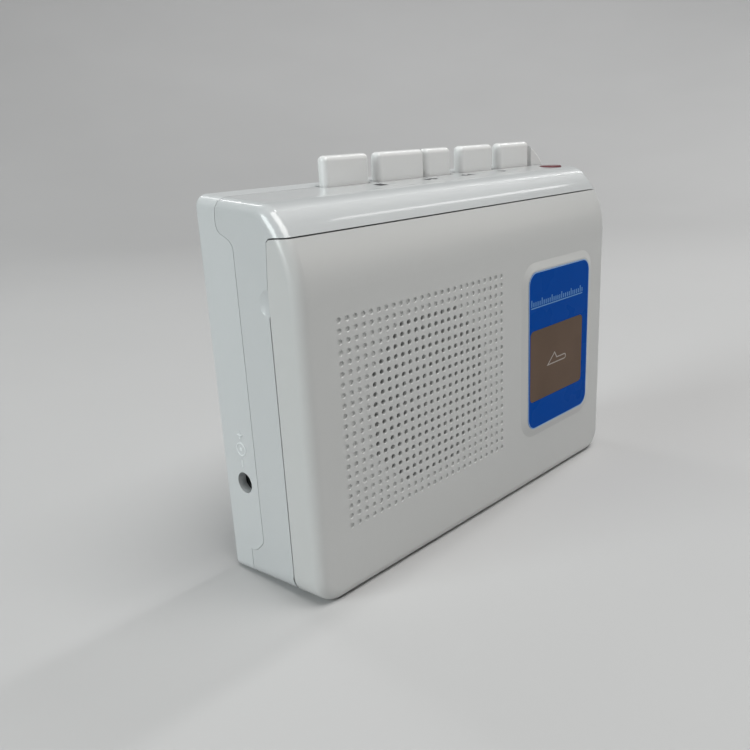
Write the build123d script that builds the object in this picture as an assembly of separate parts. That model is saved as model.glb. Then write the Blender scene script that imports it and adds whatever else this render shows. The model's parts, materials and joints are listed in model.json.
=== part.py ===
from build123d import *
import math
import os

os.makedirs("parts", exist_ok=True)

# Hand-held cassette recorder, millimetres. X runs right, Y runs back, Z runs up.
# The player stands on its base. Depths are counted back from the front face.

# ---------- overall case ----------
WIDTH = 117.3
DEPTH = 31.2
PAD_PROUD = 0.6
LABEL_THICK = 0.1
FRONT_Y = -(DEPTH - PAD_PROUD - LABEL_THICK) / 2
HALF = WIDTH / 2
WALL = 2.0
INNER_HALF = HALF - WALL

# side outline: upright front, round slope, brow and a gently rising top
SLOPE_Z = 68.6
SLOPE_R = 21.3
SLOPE_TURN = 48.9
BROW_R = 6.2
BROW_TURN = 37.8
TOP_RISE = 3.3
EDGE_R = 2.6
FRONT_CORNER_R = 6.5
REAR_CORNER_R = 1.8
REAR_EDGE_R = 1.2
BASE_TRIM = 0.01

# seams between door, middle body and rear cover
DOOR_BACK = 8.85
SEAM_GAP = 0.3
FINE_GAP = 0.1
DOOR_TOP = 79.65
SCOOP_R = 8.0
REAR_SEAM = 19.1
REAR_FOOT = 24.0
COVER_GAP = 0.15

# door hinge
HINGE_Y = 7.3
HINGE_Z = 1.85
HINGE_PIN_R = 0.9
RUN = 0.05

# grille
PITCH = 2.3
GRILLE_X = -48.53
GRILLE_Z = 62.6
GRILLE_COLUMNS = 25
GRILLE_ROWS = 21
HOLE_R = 0.55
DIMPLE_DEPTH = 0.35
HOLE_RIM = 0.14
SPEAKER_X = -20.93
SPEAKER_Z = 39.6
OPEN_R = 20.63
SPEAKER_R = 21.2

# label and window
LABEL = (18.0, 48.5, 17.3, 61.4)
LABEL_R = 3.5
PAD_EDGE = 3.4
WINDOW = (18.8, 45.4, 25.3, 45.5)
WINDOW_R = 1.5

# cassette bay
PLATE_FRONT = 6.6
PLATE_BACK = 7.4
RAIL_BACK = 17.8
HUB_X = 21.25
HUB_Z = 35.4
CAPSTAN_X = 25.6
CAPSTAN_Z = 62.0

# mechanism
CHASSIS_FRONT = 20.0
CHASSIS_BACK = 20.8
CHASSIS_LOW = 31.0
CHASSIS_TOP = 79.4
FLYWHEEL_R = 16.0
REEL_R = 6.0
IDLER_R = 4.0
WHEEL_GAP = 0.08
MOTOR_X = -38.0
MOTOR_Z = 68.0
MOTOR_R = 12.0
BELT_FRONT = 27.15
BELT_BACK = 28.05
PINCH_PIVOT = (41.0, 72.0)
PINCH_AT = (25.65, 75.6)
PINCH_R = 5.5

# keys
KEY_FRONT = 20.5
KEY_BACK = 23.7
KEY_FOOT = 82.6
KEY_TOP = 93.6
KEY_CORNER = 1.35
KEY_EDGE = 1.25
KEY_SLOT = 0.35
KEY_LIP = 0.6
KEYS = {
    "stop_key": (-31.1, -17.0),
    "forward_key": (-14.2, 2.5),
    "rewind_key": (3.1, 13.0),
    "play_key": (17.1, 31.3),
    "record_key": (34.2, 48.9),
}
PAUSE = (49.8, 56.2)

# battery compartment
CELL_BOX = (1.2, 50.8, 3.4, 28.8)
CELL_WALL = 0.8
CELL_FRONT = 18.15

# small parts
CASE_SCREWS = ((-54.3, 9.0), (54.3, 9.0), (-54.3, 75.5), (54.3, 75.5))
CASE_BOSS_R = 2.5
CHASSIS_SCREWS = ((-54.5, 36.0), (54.5, 36.0), (-54.5, 65.0), (54.5, 65.0))
SCREW_R = 0.9
JACK_Y = 23.8
JACK_Z = 23.8
JACK_HOLE_R = 2.5
PHONE_Y = 25.2
PHONE_Z = 38.0
PHONE_R = 1.8
WHEEL_X = 50.6
WHEEL_Z = 52.0
WHEEL_R = 7.8
LENS_X = 51.4
LENS_Y = 14.8
LENS_R = 3.3
LENS_TOP = 86.7


def box(x0, x1, y0, y1, z0, z1):
    """Box between two corners, y counted back from the front face."""
    centre = Pos((x0 + x1) / 2, FRONT_Y + (y0 + y1) / 2, (z0 + z1) / 2)
    return centre * Box(x1 - x0, y1 - y0, z1 - z0)


def rod_y(x, z, radius, y0, y1):
    """Round bar along the depth."""
    return Pos(x, FRONT_Y + (y0 + y1) / 2, z) * Rot(90, 0, 0) * Cylinder(radius, y1 - y0)


def rod_x(y, z, radius, x0, x1):
    """Round bar along the width."""
    return Pos((x0 + x1) / 2, FRONT_Y + y, z) * Rot(0, 90, 0) * Cylinder(radius, x1 - x0)


def front_plane(y):
    """Plane facing the front, sketch axes X and Z."""
    return Plane(origin=(0, FRONT_Y + y, 0), x_dir=(1, 0, 0), z_dir=(0, -1, 0))


def slab(sketch, y0, y1):
    """Front-view sketch pushed back from one depth to another."""
    return extrude(front_plane(y0) * sketch, amount=-(y1 - y0))


def across(sketch, x0, x1):
    """Side-view sketch, drawn as depth and height, pushed across the width."""
    plane = Plane(origin=(x0, FRONT_Y, 0), x_dir=(0, 1, 0), z_dir=(1, 0, 0))
    return extrude(plane * sketch, amount=x1 - x0)


def rounded(area, radius):
    """Rounded rectangle in front view."""
    x0, x1, z0, z1 = area
    return Pos((x0 + x1) / 2, (z0 + z1) / 2) * RectangleRounded(x1 - x0, z1 - z0, radius)


def grown(area, amount):
    """Front-view area with each side moved outwards."""
    x0, x1, z0, z1 = area
    return (x0 - amount, x1 + amount, z0 - amount, z1 + amount)


def turned(points, x, z):
    """Ring or disc turned about a depth axis; points are radius and depth."""
    plane = Plane(origin=(x, FRONT_Y, z), x_dir=(1, 0, 0), z_dir=(0, 0, 1))
    face = plane * make_face(Polyline(*points, close=True))
    return revolve(face, Axis((x, FRONT_Y, z), (0, 1, 0)), 360)


def side_outline(inset, back):
    """Side view of the case, moved inwards by a wall thickness."""
    front = Line((inset, inset), (inset, SLOPE_Z))
    slope = JernArc(front @ 1, (0, 1), SLOPE_R - inset, -SLOPE_TURN)
    brow = JernArc(slope @ 1, slope % 1, BROW_R - inset, -BROW_TURN)
    rise = (back - (brow @ 1).X) * math.tan(math.radians(TOP_RISE))
    top = Line(brow @ 1, (back, (brow @ 1).Y + rise))
    rear = Line(top @ 1, (back, inset))
    base = Line(rear @ 1, front @ 0)
    return make_face([front, slope, brow, top, rear, base])


def front_outline(half, low, corner):
    """Front view of the case: straight sides and rounded lower corners."""
    sheet = Pos(0, 50 + low / 2) * Rectangle(2 * half, 100 - low)
    return fillet(sheet.vertices().group_by(Axis.Y)[0], corner)


# ---------- outer form ----------
front_end = (front_plane(0) * front_outline(HALF, 0, FRONT_CORNER_R)).face()
rear_end = (front_plane(DEPTH) * front_outline(HALF, 0, REAR_CORNER_R)).face()
form = loft([front_end, rear_end], ruled=True)
form = form & across(side_outline(0, DEPTH), -HALF, HALF)
rim = []
for edge in form.edges():
    middle = edge.center()
    on_side = abs(abs(middle.X) - HALF) < 0.01 and middle.Z > 20
    at_front = edge.bounding_box().max.Y < FRONT_Y + 0.01
    if (on_side or (at_front and middle.Z < 20)) and middle.Y < FRONT_Y + DEPTH - 0.5:
        rim.append(edge)
form = fillet(rim, EDGE_R)
rear_rim = form.faces().sort_by(Axis.Y)[-1].edges()
form = fillet(rear_rim, REAR_EDGE_R)
# the base is trimmed to one true flat
form = form & box(-60, 60, -1, 33, BASE_TRIM, 100)

cavity = across(side_outline(WALL, DEPTH - WALL), -INNER_HALF, INNER_HALF)
cavity = cavity & slab(front_outline(INNER_HALF, WALL, 4.4), 0, DEPTH)

# ---------- seams ----------
door_edge = [
    (-2, -2), (DOOR_BACK, -2), (DOOR_BACK, 70.0), (8.0, 78.9),
    (7.2, 79.45), (5.4, DOOR_TOP), (-2, DOOR_TOP),
]
door_zone = across(make_face(Polyline(*door_edge, close=True)), -60, 60)
clear_edge = [
    (-2, -2), (HINGE_Y + HINGE_Z + SEAM_GAP, -2), (HINGE_Y + HINGE_Z + SEAM_GAP, 4.5),
    (DOOR_BACK + SEAM_GAP, 5.5), (DOOR_BACK + SEAM_GAP, 63.8), (DOOR_BACK + FINE_GAP, 65.0),
    (DOOR_BACK + FINE_GAP, 70.05), (8.0 + FINE_GAP, 79.0),
    (7.3, 79.75), (5.4, DOOR_TOP + SEAM_GAP), (-2, DOOR_TOP + SEAM_GAP),
]
door_clear = across(make_face(Polyline(*clear_edge, close=True)), -60, 60)

hook_low = Spline(
    (REAR_FOOT, 7.1), (21.8, 7.6), (20.2, 9.0), (REAR_SEAM, 11.8),
    tangents=((-1, 0), (0, 1)),
)
hook_high = Spline(
    (REAR_SEAM, 76.3), (20.1, 78.3), (21.8, 79.2), (23.4, 79.9), (24.3, 82.6), (23.5, 86.3), (22.3, 89.0),
    tangents=((0, 1), (-0.4, 1)),
)
cover_face = make_face([
    Line((REAR_FOOT, -2), hook_low @ 0),
    hook_low,
    Line(hook_low @ 1, hook_high @ 0),
    hook_high,
    Line(hook_high @ 1, (34, 89.0)),
    Line((34, 89.0), (34, -2)),
    Line((34, -2), (REAR_FOOT, -2)),
])
cover_zone = across(cover_face, -60, 60)

# ---------- cassette door ----------
door = (form & door_zone) - (cavity & box(-60, 60, -1, 12, 0, DOOR_TOP - 1.5))
# lower rear edge rolled round the hinge line
heel = box(-60, 60, HINGE_Y, 10, -1, HINGE_Z) - rod_x(HINGE_Y, HINGE_Z, HINGE_Z, -60, 60)
door = door - heel
# raised pad with a soft bevel, for the label
pad_foot = (front_plane(0.3) * rounded(grown(LABEL, PAD_EDGE), LABEL_R + PAD_EDGE)).face()
pad_face = (front_plane(-PAD_PROUD) * rounded(grown(LABEL, 0.5), LABEL_R + 0.5)).face()
door = door + loft([pad_foot, pad_face], ruled=True)
# window opening with a ledge behind the pane
door = door - slab(rounded(WINDOW, WINDOW_R), -1, 1.1)
door = door - slab(rounded(grown(WINDOW, -1.0), 0.8), 0, 3)
# wall that locates the speaker, and bosses for the inner plate
collar_in = SPEAKER_R + 0.1
collar_out = SPEAKER_R + 1.3
collar = [(collar_in, 1.8), (collar_out, 1.8), (collar_out, 4.2), (collar_in, 4.2)]
door = door + turned(collar, SPEAKER_X, SPEAKER_Z)
for boss_x in (-47.0, 47.0):
    for boss_z in (9.5, 71.0):
        door = door + rod_y(boss_x, boss_z, 2.0, 1.8, PLATE_FRONT)
# hinge knuckles each side of a notch for the body's ear
for side in (-1, 1):
    door = door - box(*sorted((side * 47.2, side * 49.8)), 4.9, 12, -1, 5)
    for near, far in ((45.0, 47.2), (49.8, 52.0)):
        door = door + rod_x(HINGE_Y, HINGE_Z, HINGE_Z - 0.05, *sorted((side * near, side * far)))
    door = door - rod_x(HINGE_Y, HINGE_Z, HINGE_PIN_R, *sorted((side * 45.6, side * 51.4)))
# grille: open holes in front of the speaker, shallow dimples elsewhere, all with a broken edge
holes = []
for column in range(GRILLE_COLUMNS):
    for row in range(GRILLE_ROWS):
        hole_x = GRILLE_X + PITCH * column
        hole_z = GRILLE_Z - PITCH * row
        reach = math.hypot(hole_x - SPEAKER_X, hole_z - SPEAKER_Z)
        depth = WALL + 0.5 if reach < OPEN_R else DIMPLE_DEPTH
        wide = HOLE_R + HOLE_RIM
        bore = [(0, -0.5), (wide, -0.5), (wide, 0), (HOLE_R, HOLE_RIM), (HOLE_R, depth), (0, depth)]
        holes.append(turned(bore, hole_x, hole_z))
door = door - holes
export_step(door, "parts/cassette_door.step")

label = slab(rounded(LABEL, LABEL_R), -PAD_PROUD - LABEL_THICK, -PAD_PROUD)
label = label - slab(rounded(WINDOW, WINDOW_R), -1, 1)
export_step(label, "parts/label_panel.step")

pane = slab(rounded(grown(WINDOW, -RUN), WINDOW_R - RUN), -PAD_PROUD - 0.08, 1.1)
export_step(pane, "parts/window_pane.step")

pins = []
for side in (-1, 1):
    pins.append(rod_x(HINGE_Y, HINGE_Z, HINGE_PIN_R, *sorted((side * 45.6, side * 51.4))))
export_step(Compound(children=pins), "parts/door_hinge_pins.step")

# inner plate with the shelf and rails that carry the cassette
plate = box(-55, 55, PLATE_FRONT, PLATE_BACK, 4.4, 77.0)
plate = plate - slab(rounded(grown(WINDOW, 0.4), WINDOW_R), 5, 9)
plate = plate + box(-51.4, 51.4, PLATE_BACK, RAIL_BACK, 4.4, 5.6)
for side in (-1, 1):
    plate = plate + box(*sorted((side * 50.4, side * 51.4)), PLATE_BACK, RAIL_BACK, 4.4, 60.0)
    for hole_z in (9.5, 71.0):
        plate = plate - rod_y(side * 47.0, hole_z, 0.8, 6, 8)
export_step(plate, "parts/door_inner_plate.step")

plate_screws = []
for side in (-1, 1):
    for screw_z in (9.5, 71.0):
        head = rod_y(side * 47.0, screw_z, 1.6, PLATE_BACK, PLATE_BACK + 0.15)
        plate_screws.append(head + rod_y(side * 47.0, screw_z, 0.8, PLATE_FRONT, PLATE_BACK))
export_step(Compound(children=plate_screws), "parts/plate_screws.step")

# bowed strips that press the cassette back
springs = []
for side in (-1, 1):
    outer = ThreePointArc((PLATE_BACK, 12), (9.2, 20), (PLATE_BACK, 28))
    inner = ThreePointArc((PLATE_BACK, 12.8), (8.95, 20), (PLATE_BACK, 27.2))
    bow = make_face([outer, Line(outer @ 1, inner @ 1), inner, Line(inner @ 0, outer @ 0)])
    springs.append(across(bow, side * 8.0 - 2.5, side * 8.0 + 2.5))
export_step(Compound(children=springs), "parts/cassette_springs.step")

# ---------- speaker ----------
basket = turned([
    (17.6, 2.05), (SPEAKER_R, 2.05), (SPEAKER_R, 3.0), (18.0, 3.0),
    (10.2, 5.0), (4.0, 5.0), (4.0, 4.5), (10.0, 4.5), (17.6, 2.6),
], SPEAKER_X, SPEAKER_Z)
export_step(basket, "parts/speaker_basket.step")
cone = turned([
    (17.4, 2.15), (17.4, 2.4), (16.0, 2.4), (4.0, 4.25), (0, 4.25),
    (0, 3.4), (2.4, 3.6), (3.8, 3.95), (15.8, 2.15),
], SPEAKER_X, SPEAKER_Z)
export_step(cone, "parts/speaker_cone.step")
magnet = turned([(0, 5.0), (9.0, 5.0), (9.0, 6.0), (7.5, 6.35), (0, 6.35)], SPEAKER_X, SPEAKER_Z)
export_step(magnet, "parts/speaker_magnet.step")

# ---------- middle body ----------
body = form - door_clear - Pos(0, -COVER_GAP, 0) * cover_zone
body = body - cavity
for side in (-1, 1):
    # cheeks beside the cassette
    body = body + box(*sorted((side * 52.0, side * 53.0)), 9.6, 19.2, 1.5, 70.0)
    # ears that hold the door's hinge pins
    ear = rod_x(HINGE_Y, HINGE_Z, 1.65, *sorted((side * 47.5, side * 49.5)))
    ear = ear + box(*sorted((side * 47.5, side * 49.5)), HINGE_Y, 12, 0.4, 3.3)
    body = body + ear - rod_x(HINGE_Y, HINGE_Z, HINGE_PIN_R + RUN, *sorted((side * 47, side * 50)))
    # thumb notch beside the door's edge
    body = body - Pos(side * (HALF + SCOOP_R - 0.55), FRONT_Y + 9.0, 66.6) * Sphere(SCOOP_R)
for x, z in CASE_SCREWS:
    body = body + rod_y(x, z, CASE_BOSS_R, 11.0, 19.4)
    body = body - rod_y(x, z, SCREW_R + RUN, 12.5, 20)
for x, z in CHASSIS_SCREWS:
    body = body + rod_y(x, z, 2.1, 12.0, CHASSIS_FRONT)
    body = body - rod_y(x, z, SCREW_R + RUN, 14, 21)

# the openings the keys stand in, shared with the rear cover
key_slots = []
for x0, x1 in KEYS.values():
    key_slots.append(box(x0 - KEY_SLOT, x1 + KEY_SLOT, KEY_FRONT - KEY_SLOT, KEY_BACK + KEY_SLOT, 80, 95))
key_slots.append(box(PAUSE[0] - KEY_SLOT, PAUSE[1] + KEY_SLOT, KEY_FRONT - KEY_SLOT, KEY_BACK + KEY_SLOT, 80, 95))
body = body - key_slots
lens_seat = Pos(LENS_X, FRONT_Y + LENS_Y, 85) * Cylinder(LENS_R, 10)
body = body - lens_seat
export_step(body, "parts/middle_body.step")

lens = Pos(LENS_X, FRONT_Y + LENS_Y, (LENS_TOP + 83) / 2) * Cylinder(LENS_R - RUN, LENS_TOP - 83)
lens = fillet(lens.edges().group_by(Axis.Z)[-1], 0.5)
export_step(lens, "parts/indicator_lens.step")

# ---------- rear cover ----------
cover = (form & cover_zone) - cavity
x0, x1, z0, z1 = CELL_BOX
cells = box(x0, x1, CELL_FRONT, DEPTH - 1.5, z0, z1)
cells = cells - box(x0 + CELL_WALL, x1 - CELL_WALL, CELL_FRONT + 0.6, DEPTH, z0 + CELL_WALL, z1 - CELL_WALL)
cover = cover + cells
# battery opening: shallow bed for the sliding door, then the way through
cover = cover - box(x0 + 0.7, x1 - 0.7, 30.0, 33, -1, 28.9)
cover = cover - box(x0 + CELL_WALL, x1 - CELL_WALL, 28, 33, z0 + CELL_WALL, z1 - CELL_WALL - 1.5)
cover = cover - box(x0 - 0.5, x1 + 0.5, 30.0, 30.75, -1, 27.0)
for x, z in CASE_SCREWS:
    cover = cover + rod_y(x, z, CASE_BOSS_R, 19.4, DEPTH - 1.5)
    cover = cover - rod_y(x, z, SCREW_R + RUN, 18, 32) - rod_y(x, z, 2.1, DEPTH - 1.5, 32)
for x in (-47.0, -6.0):
    for z in (7.5, 25.0):
        cover = cover + rod_y(x, z, 1.6, 28.2, DEPTH - 1.5)
# side openings: power inlet at the left, phones, volume and microphone at the right
cover = cover - rod_x(JACK_Y, JACK_Z, JACK_HOLE_R, -60, -55)
cover = cover - rod_x(PHONE_Y, PHONE_Z, 3.25, 55, 60)
cover = cover - rod_x(25.0, 67.0, 0.8, 55, 60)
cover = cover - box(55, 60, 23.2, 26.2, WHEEL_Z - 6.3, WHEEL_Z + 6.3)
dish = fillet(box(57.6, 62, 21.6, 27.8, WHEEL_Z - 8.4, WHEEL_Z + 8.4).edges().filter_by(Axis.X), 2.4)
cover = cover - dish
cover = cover + rod_y(WHEEL_X, WHEEL_Z, 1.2, 22.6, DEPTH - 1.5)
cover = cover - key_slots
export_step(cover, "parts/rear_cover.step")

# sliding battery door with finger ribs
lid = form & box(x0 + 0.85, x1 - 0.85, 30.15, 33, -1, 28.7)
lid = lid + box(x0 - 0.35, x1 + 0.35, 30.15, 30.6, 0.6, 26.8)
for rib in range(5):
    lid = lid - box(18, 34, DEPTH - 0.4, 33, 5.0 + 1.8 * rib, 5.8 + 1.8 * rib)
export_step(lid, "parts/battery_door.step")

# contacts: flat plates at one end, coiled ones at the other
contacts = box(49.6, 49.95, 20, 29, 5, 27)
low_plate = box(x0 + CELL_WALL + 0.05, x0 + CELL_WALL + 0.4, 20, 29, 5, 27)
coils = []
for z in (10.4, 21.6):
    for turn in range(3):
        ring = Pos(x0 + CELL_WALL + 0.6 + 0.6 * turn, FRONT_Y + 24.3, z) * Rot(0, 90, 0)
        coils.append(ring * Torus(3.4 - 0.5 * turn, 0.42))
contacts = [contacts, low_plate.fuse(*coils)]
export_step(Compound(children=contacts), "parts/battery_contacts.step")

# ---------- screws ----------
screws = []
for x, z in CASE_SCREWS:
    screw = rod_y(x, z, SCREW_R, 13.0, DEPTH - 1.4) + rod_y(x, z, 1.95, DEPTH - 1.5, DEPTH - 0.3)
    screw = screw - box(x - 1.2, x + 1.2, DEPTH - 0.9, DEPTH, z - 0.22, z + 0.22)
    screw = screw - box(x - 0.22, x + 0.22, DEPTH - 0.9, DEPTH, z - 1.2, z + 1.2)
    screws.append(screw)
export_step(Compound(children=screws), "parts/case_screws.step")
screws = []
for x, z in CHASSIS_SCREWS:
    screw = rod_y(x, z, SCREW_R, 15.0, CHASSIS_BACK) + rod_y(x, z, 1.7, CHASSIS_BACK, CHASSIS_BACK + 0.8)
    screw = screw - box(x - 1.1, x + 1.1, CHASSIS_BACK + 0.4, 23, z - 0.22, z + 0.22)
    screws.append(screw)
export_step(Compound(children=screws), "parts/chassis_screws.step")

# ---------- chassis and drive ----------
fly = Vector(CAPSTAN_X, CAPSTAN_Z, 0)
hub = Vector(HUB_X, HUB_Z, 0)
span = (hub - fly).length
from_fly = FLYWHEEL_R + IDLER_R + WHEEL_GAP
from_hub = REEL_R + IDLER_R + WHEEL_GAP
along = (from_fly ** 2 - from_hub ** 2 + span ** 2) / (2 * span)
aside = math.sqrt(from_fly ** 2 - along ** 2)
step = (hub - fly).normalized()
IDLER_X = fly.X + along * step.X - aside * step.Y
IDLER_Z = fly.Y + along * step.Y + aside * step.X

chassis = box(-56.2, 56.2, CHASSIS_FRONT, CHASSIS_BACK, CHASSIS_LOW, CHASSIS_TOP)
chassis = chassis - box(19.5, 28.5, 19, 22, 77.2, 81)
for side in (-1, 1):
    chassis = chassis - box(*sorted((side * 51.0, side * 57.0)), 19, 22, 70.0, 81)
chassis = chassis - slab(rounded((-12, 12, 44, 66), 3), 19, 22)
chassis = chassis - slab(rounded((-50, -42, 40, 54), 3), 19, 22)
chassis = chassis - rod_y(CAPSTAN_X, CAPSTAN_Z, 3.0, 19, 22)
for side in (-1, 1):
    chassis = chassis - rod_y(side * HUB_X, HUB_Z, 1.5 + RUN, 19, 22)
for x, z in CHASSIS_SCREWS:
    chassis = chassis - rod_y(x, z, SCREW_R + RUN, 19, 22)
chassis = chassis + rod_y(IDLER_X, IDLER_Z, 1.0, CHASSIS_BACK - 0.2, 24.9)
chassis = chassis + rod_y(*PINCH_PIVOT, 1.2, 15.0, CHASSIS_BACK - 0.2)
export_step(chassis, "parts/chassis_plate.step")

bearing = turned([(1.0 + RUN, 19.8), (3.0, 19.8), (3.0, 22.3), (1.0 + RUN, 22.3)], CAPSTAN_X, CAPSTAN_Z)
export_step(bearing, "parts/capstan_bearing.step")

flywheel = turned([
    (0, 8.6), (0.7, 8.6), (1.0, 9.0), (1.0, 22.6), (FLYWHEEL_R, 22.6), (FLYWHEEL_R, 25.4),
    (13.5, 25.4), (13.0, 24.4), (9.5, 24.4), (8.6, 25.4), (8.6, 26.9), (7.7, 27.1),
    (7.7, 28.1), (8.6, 28.3), (8.6, 28.7), (0, 28.7),
], CAPSTAN_X, CAPSTAN_Z)
export_step(flywheel, "parts/capstan_flywheel.step")

motor = turned([
    (0.8, 22.0), (0.8, 26.9), (3.0, 26.9), (3.2, 26.5), (11.4, 26.5), (MOTOR_R, 25.9),
    (MOTOR_R, CHASSIS_BACK), (0, CHASSIS_BACK), (0, 22.0),
], MOTOR_X, MOTOR_Z)
export_step(motor, "parts/motor.step")
pulley = turned([
    (0, 22.2), (0.75, 22.2), (0.75, 27.0), (2.7, 27.0), (2.7, 27.05), (2.0, 27.15),
    (2.0, 28.1), (2.7, 28.4), (2.7, 28.8), (0, 28.8),
], MOTOR_X, MOTOR_Z)
export_step(pulley, "parts/motor_pulley.step")


def loop(motor_r, fly_r):
    """Filled outline of a belt round both pulleys."""
    small = Pos(MOTOR_X, MOTOR_Z) * Circle(motor_r)
    large = Pos(CAPSTAN_X, CAPSTAN_Z) * Circle(fly_r)
    return make_hull(small.edges() + large.edges())


belt = slab(loop(2.9, 8.6), BELT_FRONT, BELT_BACK) - slab(loop(2.05, 7.75), 27, 29)
export_step(belt, "parts/drive_belt.step")

for side, name in ((-1, "supply_spindle"), (1, "takeup_spindle")):
    spindle = turned([
        (0, 10.2), (1.4, 10.6), (2.8, 12.4), (2.8, 19.0), (3.6, 19.0), (3.6, 19.8),
        (1.5, 19.8), (1.5, 21.1), (REEL_R, 21.1), (REEL_R, 24.2), (2.5, 24.2), (2.5, 25.0), (0, 25.0),
    ], side * HUB_X, HUB_Z)
    for fin in range(3):
        blade = Box(8.6, 6.0, 0.9)
        blade = Pos(side * HUB_X, FRONT_Y + 15.9, HUB_Z) * Rot(0, 60 * fin, 0) * blade
        spindle = spindle + blade
    export_step(spindle, "parts/" + name + ".step")

idler = turned([
    (1.0 + RUN, 22.7), (IDLER_R, 22.7), (IDLER_R, 24.1), (1.0 + RUN, 24.1),
], IDLER_X, IDLER_Z)
export_step(idler, "parts/idler_wheel.step")

# ---------- heads and pinch roller ----------
bridge = box(-22, 30, 19.05, 19.65, 73.5, 82.0) + box(21, 27, 19.05, 22.0, 80.9, 82.2)
bridge = bridge - slab(rounded((8, 18, 75.5, 80), 1.5), 18, 20)
export_step(bridge, "parts/head_bridge.step")
head = box(-6, 6, 8.7, 18.2, 72.0, 79.0)
head = fillet(head.edges().filter_by(Axis.Y).group_by(Axis.Z)[0], 1.2)
nose = Pos(0, FRONT_Y + 13.45, 73.2) * Rot(90, 0, 0) * Cylinder(3.0, 7.0)
head = head + nose + box(-6.5, 6.5, 18.2, 19.05, 73.6, 81.0)
export_step(head, "parts/playback_head.step")
erase = box(-19, -12, 10.0, 17.5, 72.4, 77.5) + box(-19.5, -11.5, 17.5, 19.05, 74.0, 79.0)
erase = fillet(erase.edges().filter_by(Axis.Y).group_by(Axis.Z)[0], 1.0)
export_step(erase, "parts/erase_head.step")

lever = Line((PINCH_PIVOT[0], PINCH_PIVOT[1]), (PINCH_AT[0], PINCH_AT[1]))
lean = math.degrees(math.atan2(PINCH_AT[1] - PINCH_PIVOT[1], PINCH_AT[0] - PINCH_PIVOT[0]))
arm = Pos((lever @ 0.5).X, (lever @ 0.5).Y) * Rot(0, 0, lean) * SlotCenterToCenter(lever.length, 4.6)
arm = slab(arm, 17.7, 18.5)
arm = arm + rod_y(*PINCH_PIVOT, 2.3, 15.6, 18.5) - rod_y(*PINCH_PIVOT, 1.2 + RUN, 15, 19)
arm = arm + rod_y(*PINCH_AT, 1.0, 9.3, 18.0)
export_step(arm, "parts/pinch_arm.step")
roller = turned([
    (1.0 + RUN, 9.6), (2.2, 9.6), (2.2, 10.0), (PINCH_R, 10.0), (PINCH_R, 17.0),
    (2.2, 17.0), (2.2, 17.4), (1.0 + RUN, 17.4),
], *PINCH_AT)
export_step(roller, "parts/pinch_roller.step")

# ---------- keys ----------
for name, (x0, x1) in KEYS.items():
    plan = Pos((x0 + x1) / 2, FRONT_Y + (KEY_FRONT + KEY_BACK) / 2, KEY_FOOT)
    plan = plan * RectangleRounded(x1 - x0, KEY_BACK - KEY_FRONT, KEY_CORNER)
    key = extrude(plan, amount=KEY_TOP - KEY_FOOT)
    key = fillet(key.edges().group_by(Axis.Z)[-1], KEY_EDGE)
    key = key + box(x0 + 0.6, x1 - 0.6, KEY_FRONT - KEY_LIP, KEY_FRONT + 0.5, KEY_FOOT, KEY_FOOT + 1.5)
    export_step(key, "parts/" + name + ".step")
# short key with a sloping end, next to the record key
brow_line = ThreePointArc((PAUSE[0], 92.2), (53.4, 89.9), (PAUSE[1], 86.9))
sloped = make_face([
    brow_line,
    Line(brow_line @ 1, (PAUSE[1], KEY_FOOT)),
    Line((PAUSE[1], KEY_FOOT), (PAUSE[0], KEY_FOOT)),
    Line((PAUSE[0], KEY_FOOT), brow_line @ 0),
])
pause = slab(sloped, KEY_FRONT, KEY_BACK)
pause = fillet(pause.edges().filter_by(Axis.Y, reverse=True).group_by(Axis.Z)[-1], 0.8)
pause = pause + box(PAUSE[0] + 0.6, PAUSE[1] - 0.6, KEY_FRONT - KEY_LIP, KEY_FRONT + 0.5, KEY_FOOT, KEY_FOOT + 1.5)
export_step(pause, "parts/pause_key.step")

# comb that keeps the keys apart, and the soft strip they land on
guide = box(-34, 55, 24.7, 25.5, 80.6, 84.4)
for x in (-15.6, 15.05, 32.75):
    guide = guide + box(x - 0.5, x + 0.5, 20.4, 25.5, 80.6, 84.4)
export_step(guide, "parts/key_guide.step")
strip = box(-31, 56, 21.0, 24.3, 78.5, 79.0) - rod_y(CAPSTAN_X, CAPSTAN_Z, 16.3, 20, 26)
strip = strip - box(20.0, 28.0, 20.9, 22.4, 78, 80)
export_step(strip, "parts/key_stop_strip.step")

# ---------- electronics ----------
board = box(-51, -2.5, 26.6, 28.2, 4.5, 28.0)
export_step(board, "parts/circuit_board.step")
chips = [
    box(-32, -20, 25.0, 26.6, 12, 18),
    box(-15, -8, 25.2, 26.6, 8, 15),
    rod_y(-36.5, 9.0, 2.5, 21.6, 26.6),
    rod_y(-42.5, 9.0, 2.0, 22.2, 26.6),
    rod_y(-12.0, 22.5, 3.2, 20.6, 26.6),
    rod_y(-20.0, 23.0, 1.6, 23.0, 26.6),
    box(-30, -26, 24.6, 26.6, 21, 25),
    box(-40, -37, 25.4, 26.6, 14, 17),
]
export_step(Compound(children=chips), "parts/board_components.step")

inlet = box(-56.3, -46.5, 21.0, 26.6, 20.6, 27.0)
inlet = inlet - rod_x(JACK_Y, JACK_Z, 2.1, -57, -49)
inlet = inlet + rod_x(JACK_Y, JACK_Z, 0.65, -55.6, -48)
export_step(inlet, "parts/dc_jack.step")

phones = box(43.0, 56.3, 22.0, 28.4, PHONE_Z - 3.4, PHONE_Z + 3.4)
phones = phones + rod_x(PHONE_Y, PHONE_Z, 3.2, 56, 58.4)
phones = phones - rod_x(PHONE_Y, PHONE_Z, PHONE_R, 44.4, 59)
export_step(phones, "parts/headphone_jack.step")

microphone = rod_x(25.0, 67.0, 3.0, 53.6, INNER_HALF - 0.02) - rod_x(25.0, 67.0, 1.0, 55.6, 57)
export_step(microphone, "parts/microphone.step")

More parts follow.
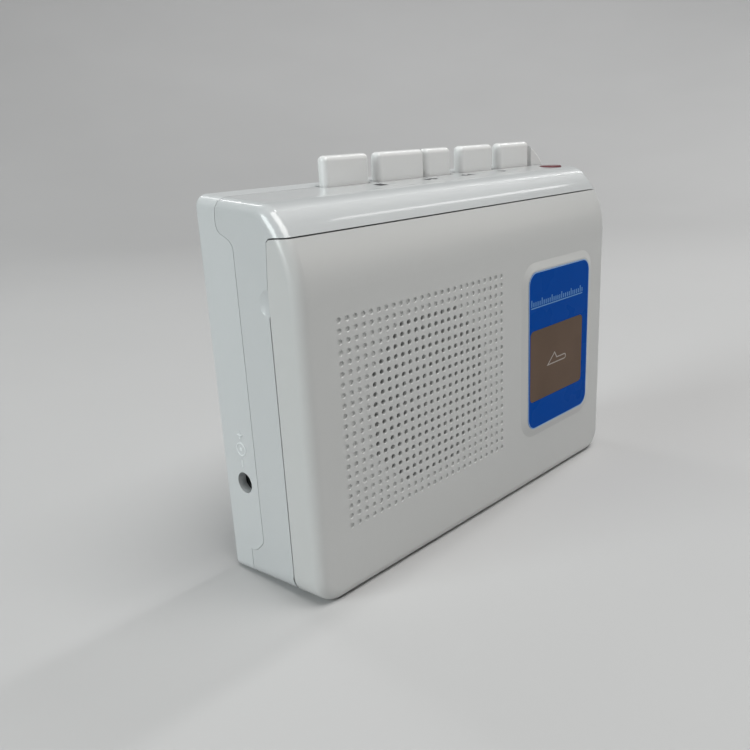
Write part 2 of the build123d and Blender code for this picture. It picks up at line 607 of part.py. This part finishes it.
wheel = rod_y(WHEEL_X, WHEEL_Z, WHEEL_R, 23.7, 25.7)
grooves = []
for notch in range(36):
    groove = Pos(WHEEL_R, 0, 0) * Box(0.7, 4, 0.5)
    grooves.append(Pos(WHEEL_X, FRONT_Y + 24.7, WHEEL_Z) * Rot(0, 10 * notch, 0) * groove)
wheel = wheel - grooves - rod_y(WHEEL_X, WHEEL_Z, 1.2 + RUN, 23, 26)
export_step(wheel, "parts/volume_wheel.step")
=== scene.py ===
import json
import math

import bmesh
import bpy
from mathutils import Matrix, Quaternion, Vector
from mathutils.bvhtree import BVHTree


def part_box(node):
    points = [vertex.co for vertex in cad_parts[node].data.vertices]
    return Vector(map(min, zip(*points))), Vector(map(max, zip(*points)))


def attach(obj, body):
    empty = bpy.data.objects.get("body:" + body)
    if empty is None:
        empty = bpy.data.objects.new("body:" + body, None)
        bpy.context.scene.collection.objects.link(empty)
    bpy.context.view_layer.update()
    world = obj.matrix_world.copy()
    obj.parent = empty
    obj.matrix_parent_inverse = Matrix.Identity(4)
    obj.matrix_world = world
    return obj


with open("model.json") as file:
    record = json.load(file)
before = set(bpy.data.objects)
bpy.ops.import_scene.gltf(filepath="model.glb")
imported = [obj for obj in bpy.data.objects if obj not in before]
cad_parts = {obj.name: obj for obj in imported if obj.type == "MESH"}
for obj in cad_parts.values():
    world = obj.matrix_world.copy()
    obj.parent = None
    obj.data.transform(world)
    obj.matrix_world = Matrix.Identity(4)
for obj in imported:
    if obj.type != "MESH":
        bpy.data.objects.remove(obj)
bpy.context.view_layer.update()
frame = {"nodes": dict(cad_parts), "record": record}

MM = 0.001
NODES = frame["nodes"]


# ---------- measures taken from the frame ----------
def low(node):
    """Lowest corner of a CAD node."""
    return Vector(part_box(node)[0])


def high(node):
    """Highest corner of a CAD node."""
    return Vector(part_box(node)[1])


def centre(node):
    """Middle of a CAD node's box."""
    return (low(node) + high(node)) / 2


# ---------- shader helpers ----------
NOISE_LOW = 0.2
NOISE_HIGH = 0.8


class Shader:
    """One node-based material built round a Principled shader."""

    def __init__(self, name, colour, roughness, metallic=0.0):
        self.material = bpy.data.materials.new(name)
        self.material.use_nodes = True
        self.material.diffuse_color = (*colour, 1.0)
        self.nodes = self.material.node_tree.nodes
        self.links = self.material.node_tree.links
        self.surface = self.nodes["Principled BSDF"]
        self.colour = colour
        self.fix("Base Color", (*colour, 1.0))
        self.fix("Roughness", roughness)
        self.fix("Metallic", metallic)
        self.place = self.nodes.new("ShaderNodeTexCoord").outputs["Object"]

    def fix(self, socket, value):
        """Sets a value that is the same all over the surface."""
        self.surface.inputs[socket].default_value = value

    def noise(self, scale, detail, stretch=(1, 1, 1)):
        """Noise in object space; scale is cycles per metre."""
        mapping = self.nodes.new("ShaderNodeMapping")
        mapping.inputs["Scale"].default_value = stretch
        self.links.new(self.place, mapping.inputs["Vector"])
        noise = self.nodes.new("ShaderNodeTexNoise")
        noise.inputs["Scale"].default_value = scale
        noise.inputs["Detail"].default_value = detail
        self.links.new(mapping.outputs["Vector"], noise.inputs["Vector"])
        return noise.outputs["Fac"]

    def spread(self, value, least, most):
        """Maps noise, most of which lies between two values, onto a wanted range."""
        node = self.nodes.new("ShaderNodeMapRange")
        node.inputs["From Min"].default_value = NOISE_LOW
        node.inputs["From Max"].default_value = NOISE_HIGH
        node.inputs["To Min"].default_value = least
        node.inputs["To Max"].default_value = most
        self.links.new(value, node.inputs["Value"])
        return node.outputs["Result"]

    def tint(self, value, other, amount=1.0):
        """Blends the base colour towards another colour by a value."""
        mix = self.nodes.new("ShaderNodeMix")
        mix.data_type = "RGBA"
        socket = self.surface.inputs["Base Color"]
        if socket.is_linked:
            self.links.new(socket.links[0].from_socket, mix.inputs[6])
        else:
            mix.inputs[6].default_value = (*self.colour, 1.0)
        mix.inputs[7].default_value = (*other, 1.0)
        self.links.new(self.spread(value, 0.0, amount), mix.inputs[0])
        self.links.new(mix.outputs[2], socket)

    def gloss(self, value, least, most):
        """Lets roughness follow a value."""
        self.links.new(self.spread(value, least, most), self.surface.inputs["Roughness"])

    def bump(self, value, depth):
        """Adds relief of the given depth in metres."""
        node = self.nodes.new("ShaderNodeBump")
        node.inputs["Distance"].default_value = depth
        node.inputs["Strength"].default_value = 1.0
        self.links.new(value, node.inputs["Height"])
        socket = self.surface.inputs["Normal"]
        if socket.is_linked:
            self.links.new(socket.links[0].from_socket, node.inputs["Normal"])
        self.links.new(node.outputs["Normal"], socket)


def shade(colour, factor):
    """A colour made lighter or darker."""
    return tuple(min(1.0, part * factor) for part in colour)


def moulded(name, colour, roughness, grain=1.2e-6, coat=0.0, coat_blur=0.07):
    """Injection-moulded plastic: faint flow marks, fine spark grain, handling smears."""
    paint = Shader(name, colour, roughness)
    flow = paint.noise(22, 1.0, (0.5, 1, 1))
    smear = paint.noise(60, 3.0, (1, 1, 0.6))
    fine = paint.noise(5200, 2.0)
    peel = paint.noise(420, 2.0)
    speck = paint.noise(2600, 1.0)
    paint.tint(flow, shade(colour, 0.975))
    paint.tint(speck, shade(colour, 0.965), 0.5)
    paint.gloss(smear, roughness * 0.93, roughness * 1.12)
    paint.bump(fine, grain)
    paint.bump(peel, 3.5e-6)
    paint.fix("Coat Weight", coat)
    paint.fix("Coat Roughness", coat_blur)
    return paint.material


def printed(name, colour, roughness=0.28):
    """Screen-printed or foil ink with slight thin spots."""
    paint = Shader(name, colour, roughness)
    thin = paint.noise(900, 4.0)
    blotch = paint.noise(60, 3.0)
    paint.fix("Specular IOR Level", 0.02)
    paint.tint(thin, shade(colour, 0.94), 0.6)
    paint.tint(blotch, shade(colour, 1.06), 0.8)
    paint.gloss(blotch, roughness * 0.9, roughness * 1.1)
    paint.bump(thin, 8e-7)
    return paint.material


def smoked(name, colour):
    """Smoked pane or tinted lens: dark and glossy, with rubbed haze and scratches."""
    paint = Shader(name, colour, 0.16)
    haze = paint.noise(70, 4.0)
    scratch = paint.noise(260, 6.0, (1, 1, 9))
    streak = paint.noise(30, 2.0, (2.5, 1, 0.4))
    paint.tint(streak, shade(colour, 1.25))
    paint.tint(haze, shade(colour, 0.82), 0.7)
    paint.gloss(scratch, 0.12, 0.26)
    paint.bump(scratch, 5e-7)
    paint.fix("Specular IOR Level", 0.08)
    return paint.material


def metal(name, colour, roughness, brushed=(1, 1, 1)):
    """Bare or plated metal with drawn lines and stains."""
    paint = Shader(name, colour, roughness, 1.0)
    lines = paint.noise(900, 5.0, brushed)
    stain = paint.noise(80, 4.0)
    paint.tint(stain, shade(colour, 0.8))
    paint.gloss(lines, roughness * 0.75, roughness * 1.35)
    paint.bump(lines, 6e-7)
    return paint.material


def soft(name, colour, roughness):
    """Rubber or paper: dusty, with a coarse skin."""
    paint = Shader(name, colour, roughness)
    dust = paint.noise(150, 5.0)
    skin = paint.noise(3000, 3.0)
    paint.tint(dust, shade(colour, 1.7), 0.8)
    paint.gloss(dust, roughness * 0.85, min(1.0, roughness * 1.1))
    paint.bump(skin, 6e-6)
    return paint.material


def laminate(name, colour):
    """Coated circuit board with copper tracks under the mask."""
    paint = Shader(name, colour, 0.35)
    tracks = paint.noise(240, 0.0, (1, 1, 4))
    weave = paint.noise(2500, 1.0)
    paint.tint(tracks, shade(colour, 1.9))
    paint.tint(weave, shade(colour, 0.8), 0.4)
    paint.bump(tracks, 1.2e-5)
    return paint.material


# ---------- materials, one per record slot ----------
WHITE = (0.60, 0.622, 0.628)
DOOR_WHITE = (0.585, 0.592, 0.585)
KEY_WHITE = (0.78, 0.785, 0.78)
SLOTS = {
    "case_grey": moulded("case_plastic", shade(WHITE, 0.95), 0.32, coat=0.8),
    "case_back": moulded("cover_plastic", WHITE, 0.34, grain=2.5e-6, coat=0.4),
    "door_grey": moulded("door_plastic", DOOR_WHITE, 0.36, coat=0.4, coat_blur=0.16),
    "key_grey": moulded("key_plastic", KEY_WHITE, 0.34, coat=0.5),
    "label_blue": printed("label_print", (0.001, 0.064, 0.35)),
    "window_smoke": smoked("window_smoke", (0.125, 0.083, 0.058)),
    "lens_red": smoked("lens_tint", (0.15, 0.055, 0.062)),
    "inner_plastic": moulded("inner_plastic", (0.16, 0.16, 0.165), 0.5, grain=8e-6),
    "steel": metal("zinc_steel", (0.56, 0.57, 0.58), 0.32, (1, 1, 12)),
    "screw_steel": metal("screw_steel", (0.42, 0.42, 0.43), 0.3),
    "brass": metal("turned_brass", (0.78, 0.58, 0.27), 0.24, (8, 1, 8)),
    "rubber": soft("rubber", (0.022, 0.022, 0.023), 0.75),
    "spring_steel": metal("spring_plate", (0.74, 0.74, 0.72), 0.2),
    "board_green": laminate("board_mask", (0.02, 0.16, 0.06)),
    "part_dark": moulded("dark_parts", (0.03, 0.03, 0.032), 0.4),
    "paper": soft("cone_paper", (0.055, 0.052, 0.048), 0.9),
    "magnet_grey": metal("ferrite", (0.11, 0.11, 0.115), 0.55),
    "head_metal": metal("head_shell", (0.68, 0.68, 0.68), 0.14),
    "nylon_white": moulded("nylon", (0.66, 0.65, 0.61), 0.42, grain=4e-6),
}
for entry in frame["record"]["subparts"]:
    mesh = NODES[entry["node"]].data
    mesh.materials.clear()
    mesh.materials.append(SLOTS[entry["material_slot"]])

# painted highlight: the case plastic made lighter for the raised marks, standing in for the light their
# thin ridges catch
RIDGE_PAINTED_HIGHLIGHT = moulded("ridge_plastic_painted_highlight", shade(WHITE, 1.35), 0.3)
INK_DARK = printed("key_mark_ink", (0.05, 0.05, 0.055), 0.4)
INK_PALE = printed("label_mark_ink", (0.16, 0.34, 0.60), 0.3)
INK_EDGE = printed("label_edge_ink", (0.30, 0.48, 0.72), 0.3)
INK_WINDOW = printed("window_mark_ink", (0.42, 0.38, 0.35), 0.35)


# ---------- pieces and outlines ----------
def add_piece(name, data, material, body):
    """Puts a mesh or curve in the scene as a piece of the object."""
    data.materials.append(material)
    piece = bpy.data.objects.new(name, data)
    bpy.context.collection.objects.link(piece)
    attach(piece, body)


def flat_piece(name, faces, material, body):
    """A piece made of flat polygons, each a list of 3-D points."""
    shape = bmesh.new()
    for face in faces:
        shape.faces.new([shape.verts.new(point) for point in face])
    mesh = bpy.data.meshes.new(name)
    shape.to_mesh(mesh)
    shape.free()
    add_piece(name, mesh, material, body)


def ring(outer, inner):
    """Quads between two outlines with the same number of points."""
    count = len(outer)
    quads = []
    for index in range(count):
        after = (index + 1) % count
        quads.append([outer[index], outer[after], inner[after], inner[index]])
    return quads


def circle(radius, count):
    """Round outline in a flat plane."""
    step = 2 * math.pi / count
    return [(radius * math.cos(step * i), radius * math.sin(step * i)) for i in range(count)]


def square(x, y, side):
    """Square outline in a flat plane."""
    half = side / 2
    return [(x - half, y - half), (x + half, y - half), (x + half, y + half), (x - half, y + half)]


def arrowhead(x, y, width, depth, way):
    """Triangle that points to the right when way is 1 and to the left when it is -1."""
    w, d = way * width / 2, depth / 2
    return [(x - w, y - d), (x + w, y), (x - w, y + d)]


# ---------- transport symbols on the top, in front of the keys ----------
MARK = 2.7 * MM
MARK_SHIFT = 6.0 * MM
MARK_AHEAD = 3.6 * MM
MARK_LIFT = 0.015 * MM
PAIR_WIDTH = 0.85 * MARK
PAIR_STEP = 0.45 * MARK


def arrow_pair(x, y, way):
    """Two triangles in a row, for fast winding."""
    return [arrowhead(x + side * PAIR_STEP, y, PAIR_WIDTH, MARK, way) for side in (-1, 1)]


MARKS = {
    "stop_mark": ("stop_key", lambda x, y: [square(x, y, MARK)]),
    "forward_mark": ("forward_key", lambda x, y: arrow_pair(x, y, 1)),
    "rewind_mark": ("rewind_key", lambda x, y: arrow_pair(x, y, -1)),
    "play_mark": ("play_key", lambda x, y: [arrowhead(x, y, MARK, MARK, 1)]),
}


def surface_of(node):
    """Search tree over a CAD node's triangles."""
    mesh = NODES[node].data
    corners = [vertex.co.copy() for vertex in mesh.vertices]
    return BVHTree.FromPolygons(corners, [list(face.vertices) for face in mesh.polygons])


def on_top(tree, x, y):
    """The point just above the case's upper side at a place in plan."""
    found = tree.ray_cast(Vector((x, y, 1.0)), Vector((0, 0, -1)))
    return found[0] + Vector((0, 0, MARK_LIFT))


top_tree = surface_of("middle_body")
mark_y = low("stop_key").y - MARK_AHEAD
for name, (key, draw) in MARKS.items():
    outlines = draw(centre(key).x + MARK_SHIFT, mark_y)
    faces = [[on_top(top_tree, x, y) for x, y in outline] for outline in outlines]
    flat_piece(name, faces, INK_DARK, "player")


# ---------- label print ----------
PRINT_LIFT = 0.012 * MM
LABEL_R = 3.5 * MM
EDGE_LINE = 0.28 * MM
CORNER_STEPS = 10
label_low, label_high = low("label_panel"), high("label_panel")
label_y = label_low.y - PRINT_LIFT


def label_outline(inset):
    """The label's rounded edge, moved inwards, as points in the front plane."""
    x0, x1 = label_low.x + inset, label_high.x - inset
    z0, z1 = label_low.z + inset, label_high.z - inset
    radius = LABEL_R - inset
    corners = (
        (x1 - radius, z1 - radius, 0), (x0 + radius, z1 - radius, 90),
        (x0 + radius, z0 + radius, 180), (x1 - radius, z0 + radius, 270),
    )
    points = []
    for middle_x, middle_z, start in corners:
        for step in range(CORNER_STEPS + 1):
            angle = math.radians(start + 90 * step / CORNER_STEPS)
            x = middle_x + radius * math.cos(angle)
            points.append(Vector((x, label_y, middle_z + radius * math.sin(angle))))
    return points


edge_faces = ring(label_outline(0.0), label_outline(EDGE_LINE))
flat_piece("label_edge_line", edge_faces, INK_EDGE, "door")

# a row of plain scale ticks over a thin line, every fifth tick longer
TICKS = 27
LONG_EVERY = 5
TICK_STEP = 0.98 * MM
TICK_WIDE = 0.4 * MM
TICK_LONG = 1.9 * MM
TICK_SHORT = 1.2 * MM
LINE_LOW = -0.55 * MM
LINE_HIGH = -0.25 * MM
tick_x = label_low.x + 1.1 * MM
tick_z = label_high.z - 9.2 * MM


def label_box(x0, x1, z0, z1):
    """Upright rectangle on the label, in metres from the foot of the first tick."""
    return [
        Vector((tick_x + x, label_y, tick_z + z))
        for x, z in ((x0, z0), (x1, z0), (x1, z1), (x0, z1))
    ]


ticks = []
for index in range(TICKS):
    left = index * TICK_STEP
    ticks.append(label_box(left, left + TICK_WIDE, 0.0, TICK_SHORT if index % LONG_EVERY else TICK_LONG))
ticks.append(label_box(0.0, left + TICK_WIDE, LINE_LOW, LINE_HIGH))
flat_piece("label_ticks", ticks, INK_PALE, "door")

# ---------- outline half arrow on the window: flat below, barb above, round tail ----------
ARROW_LINE = 0.34
SHARPEST = 0.2
TIP_X = -5.1
BARB_X = -1.2
NECK_X = 0.0
TAIL_X = 3.9
FOOT_Z = -1.2
NECK_Z = 0.45
BARB_Z = 2.2
TAIL_R = (NECK_Z - FOOT_Z) / 2
TAIL_STEPS = 8
pane_mid = centre("window_pane")
pane_y = low("window_pane").y - PRINT_LIFT


def half_arrow():
    """The arrow's outline in millimetres, round the middle of the window."""
    points = [(TIP_X, FOOT_Z), (BARB_X, BARB_Z), (NECK_X, NECK_Z)]
    for step in range(TAIL_STEPS + 1):
        angle = math.pi * step / TAIL_STEPS
        x = TAIL_X + TAIL_R * math.sin(angle)
        points.append((x, FOOT_Z + TAIL_R + TAIL_R * math.cos(angle)))
    return points


def shrunk(outline, amount):
    """Outline moved inwards by an even amount; SHARPEST limits how far a sharp corner moves."""
    moved = []
    count = len(outline)
    for index, (x, z) in enumerate(outline):
        before = Vector(outline[index - 1])
        here = Vector((x, z))
        after = Vector(outline[(index + 1) % count])
        first = (here - before).normalized()
        second = (after - here).normalized()
        inward = Vector((first.y, -first.x)) + Vector((second.y, -second.x))
        length = amount / max(SHARPEST, math.cos(first.angle(second) / 2))
        moved.append(here + inward.normalized() * length)
    return moved


def on_pane(points):
    """Flat outline in millimetres placed on the front of the window."""
    return [Vector((pane_mid.x + x * MM, pane_y, pane_mid.z + z * MM)) for x, z in points]


arrow_faces = ring(on_pane(half_arrow()), on_pane(shrunk(half_arrow(), ARROW_LINE)))
flat_piece("window_arrow", arrow_faces, INK_WINDOW, "door")


# ---------- raised marks over the power inlet ----------
RIDGE_R = 0.19 * MM
RIDGE_SUNK = 0.03 * MM
ABOVE_JACK = 8.2 * MM
RING_R = 1.5
DOT_R = 0.3
MARK_IN = 2.5
MARK_OUT = 4.3
PLUS_MID = (MARK_IN + MARK_OUT) / 2
PLUS_HALF = (MARK_OUT - MARK_IN) / 2
jack = centre("dc_jack")
side_x = low("rear_cover").x + RIDGE_SUNK

# each ridge's points, in millimetres round the inlet's centre line, and whether it closes on itself
RIDGES = {
    "inlet_ring": (circle(RING_R, 28), True),
    "inlet_dot": (circle(DOT_R, 12), True),
    "inlet_minus": ([(0, -MARK_IN), (0, -MARK_OUT)], False),
    "inlet_plus_a": ([(0, MARK_IN), (0, MARK_OUT)], False),
    "inlet_plus_b": ([(-PLUS_HALF, PLUS_MID), (PLUS_HALF, PLUS_MID)], False),
}


def ridge(name, points, closed):
    """A thin round ridge that follows a line of points on the left side."""
    curve = bpy.data.curves.new(name, "CURVE")
    curve.dimensions = "3D"
    curve.bevel_depth = RIDGE_R
    curve.bevel_resolution = 3
    spline = curve.splines.new("POLY")
    spline.points.add(len(points) - 1)
    for point, (y, z) in zip(spline.points, points):
        point.co = (side_x, jack.y + y * MM, jack.z + ABOVE_JACK + z * MM, 1.0)
    spline.use_cyclic_u = closed
    # the ridges take the lighter plastic, a painted highlight
    add_piece(name, curve, RIDGE_PAINTED_HIGHLIGHT, "player")


for name, (points, closed) in RIDGES.items():
    ridge(name, points, closed)


# ---------- stage ----------
FLOOR_FLAT = 0.55
FLOOR_FAR = 3.0
FLOOR_RISE = 1.7
FLOOR_RINGS = 40
FLOOR_SPOKES = 96
FLOOR_GREY = (0.52, 0.52, 0.52)
FLOOR_SHADE = (0.50, 0.50, 0.50)


def floor_ring(shape, index):
    """One round row of the floor's points; the first is the point in the middle."""
    if index == 0:
        return [shape.verts.new((0, 0, 0))]
    radius = FLOOR_FAR * index / FLOOR_RINGS
    height = FLOOR_RISE * max(0.0, (radius - FLOOR_FLAT) / (FLOOR_FAR - FLOOR_FLAT)) ** 2
    return [shape.verts.new((x, y, height)) for x, y in circle(radius, FLOOR_SPOKES)]


def bowl():
    """Plain pale floor that sweeps up gently all round."""
    shape = bmesh.new()
    rows = [floor_ring(shape, index) for index in range(FLOOR_RINGS + 1)]
    for spoke in range(FLOOR_SPOKES):
        after = (spoke + 1) % FLOOR_SPOKES
        shape.faces.new([rows[0][0], rows[1][spoke], rows[1][after]])
        for inside, outside in zip(rows[1:], rows[2:]):
            shape.faces.new([inside[spoke], outside[spoke], outside[after], inside[after]])
    mesh = bpy.data.meshes.new("floor")
    shape.to_mesh(mesh)
    shape.free()
    for face in mesh.polygons:
        face.use_smooth = True
    floor = bpy.data.objects.new("floor", mesh)
    bpy.context.collection.objects.link(floor)
    paint = Shader("floor_paper", FLOOR_GREY, 0.85)
    paint.tint(paint.noise(6, 2.0), FLOOR_SHADE)
    paint.bump(paint.noise(900, 3.0), 1e-5)
    mesh.materials.append(paint.material)


bowl()


# ---------- light ----------
def panel(name, place, target, width, height, power, colour=(1, 1, 1)):
    """Soft rectangular light aimed at a point."""
    light = bpy.data.lights.new(name, "AREA")
    light.shape = "RECTANGLE"
    light.size = width
    light.size_y = height
    light.energy = power
    light.color = colour
    lamp = bpy.data.objects.new(name, light)
    lamp.location = place
    lamp.rotation_euler = (Vector(target) - Vector(place)).to_track_quat("-Z", "Y").to_euler()
    bpy.context.collection.objects.link(lamp)


MIDDLE = (0, 0, 0.045)
panel("overhead", (0.0, -0.40, 1.05), MIDDLE, 0.8, 0.6, 9.0, (1.0, 0.995, 0.98))
panel("left_window", (-1.2, 0.35, 0.55), MIDDLE, 0.6, 0.7, 8.8, (0.93, 1.0, 1.0))
panel("warm_fill", (0.9, -0.9, 0.5), MIDDLE, 0.8, 0.5, 0.8, (1.0, 0.94, 0.85))
# the backdrop light faces away from the player, to brighten the far sweep of the floor
panel("backdrop", (0.6, 0.5, 1.3), (2.5, 2.3, 0.8), 1.4, 0.9, 13.0)
# narrow tubes beside and behind draw the bright lines on the rounded edges
panel("brow_tube", (0.70, 0.02, 0.62), (0.70, 0.02, 0), 0.9, 0.045, 1.9)
panel("edge_tube", (0.0, 0.68, 0.55), (0.0, 0.68, 0), 0.05, 0.7, 0.8)
panel("slope_tube", (0.72, -0.22, 0.62), (0.72, -0.22, 0), 0.5, 0.03, 0.2)

world = bpy.data.worlds.new("room")
world.use_nodes = True
background = world.node_tree.nodes["Background"]
background.inputs["Color"].default_value = (0.97, 0.98, 1.0, 1.0)
background.inputs["Strength"].default_value = 0.10
bpy.context.scene.world = world
bpy.context.scene.view_settings.view_transform = "Standard"

# ---------- camera ----------
CAMERA_PLACE = (-0.1531, -0.13155, 0.0998)
CAMERA_AIM = (0.7062, 0.6404, -0.3021)
CAMERA_ROLL = -2.07
camera_data = bpy.data.cameras.new("camera")
camera_data.sensor_width = 36.0
camera_data.lens = 38.155
camera_data.shift_x = -0.06
camera_data.clip_start = 0.01
camera = bpy.data.objects.new("camera", camera_data)
camera.location = CAMERA_PLACE
aim = Vector(CAMERA_AIM).to_track_quat("-Z", "Y")
roll = Quaternion((0, 0, 1), math.radians(CAMERA_ROLL))
camera.rotation_euler = (aim @ roll).to_euler()
bpy.context.collection.objects.link(camera)
bpy.context.scene.camera = camera
